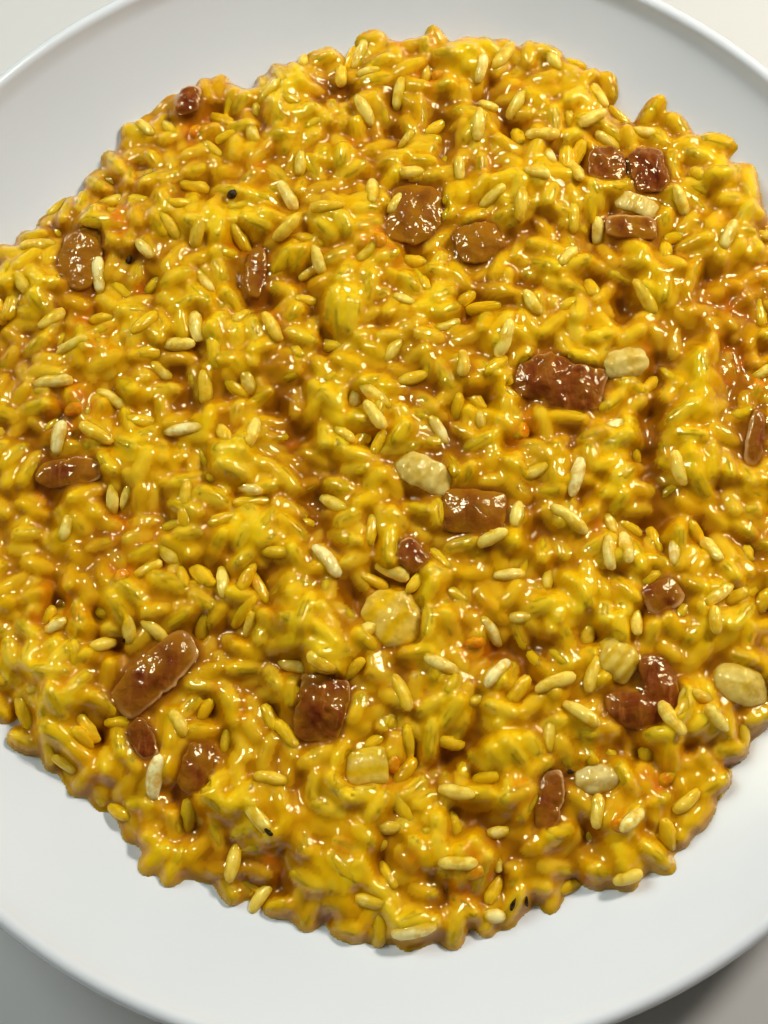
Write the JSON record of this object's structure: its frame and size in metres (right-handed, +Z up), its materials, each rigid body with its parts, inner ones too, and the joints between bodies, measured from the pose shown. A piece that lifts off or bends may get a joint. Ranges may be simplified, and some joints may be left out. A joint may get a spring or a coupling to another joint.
{
  "type": "pumpkin risotto in a plate",
  "caption": "Round shallow coupe plate filled with a spread, uneven heap of pumpkin risotto with ham and onion pieces on it.",
  "frame": {"origin": "middle of the plate's foot, on the surface that it stands on", "axes": "+Z up, out of the plate; +Y is the far side of the plate and +X its right, as the diner sees it"},
  "size_m": [0.27, 0.27, 0.0289],
  "materials": {
    "plate_glaze": "smooth white glaze, high gloss",
    "sauced_rice": "wet golden sauce over cooked rice, glossy",
    "ham": "cooked cured ham, red-brown and moist",
    "onion": "soft translucent cooked onion, moist"
  },
  "bodies": {
    "root": {"plate": "plate_glaze", "risotto": "sauced_rice", "ham_01": "ham", "ham_02": "ham", "ham_03": "ham", "ham_04": "ham", "ham_05": "ham", "ham_06": "ham", "ham_07": "ham", "ham_08": "ham", "ham_09": "ham", "ham_10": "ham", "ham_11": "ham", "ham_12": "ham", "ham_13": "ham", "ham_14": "ham", "ham_15": "ham", "ham_16": "ham", "ham_17": "ham", "ham_18": "ham", "ham_19": "ham", "ham_20": "ham", "onion_01": "onion", "onion_02": "onion", "onion_03": "onion", "onion_04": "onion", "onion_05": "onion", "onion_06": "onion", "onion_07": "onion", "onion_08": "onion"}
  },
  "joints": []
}
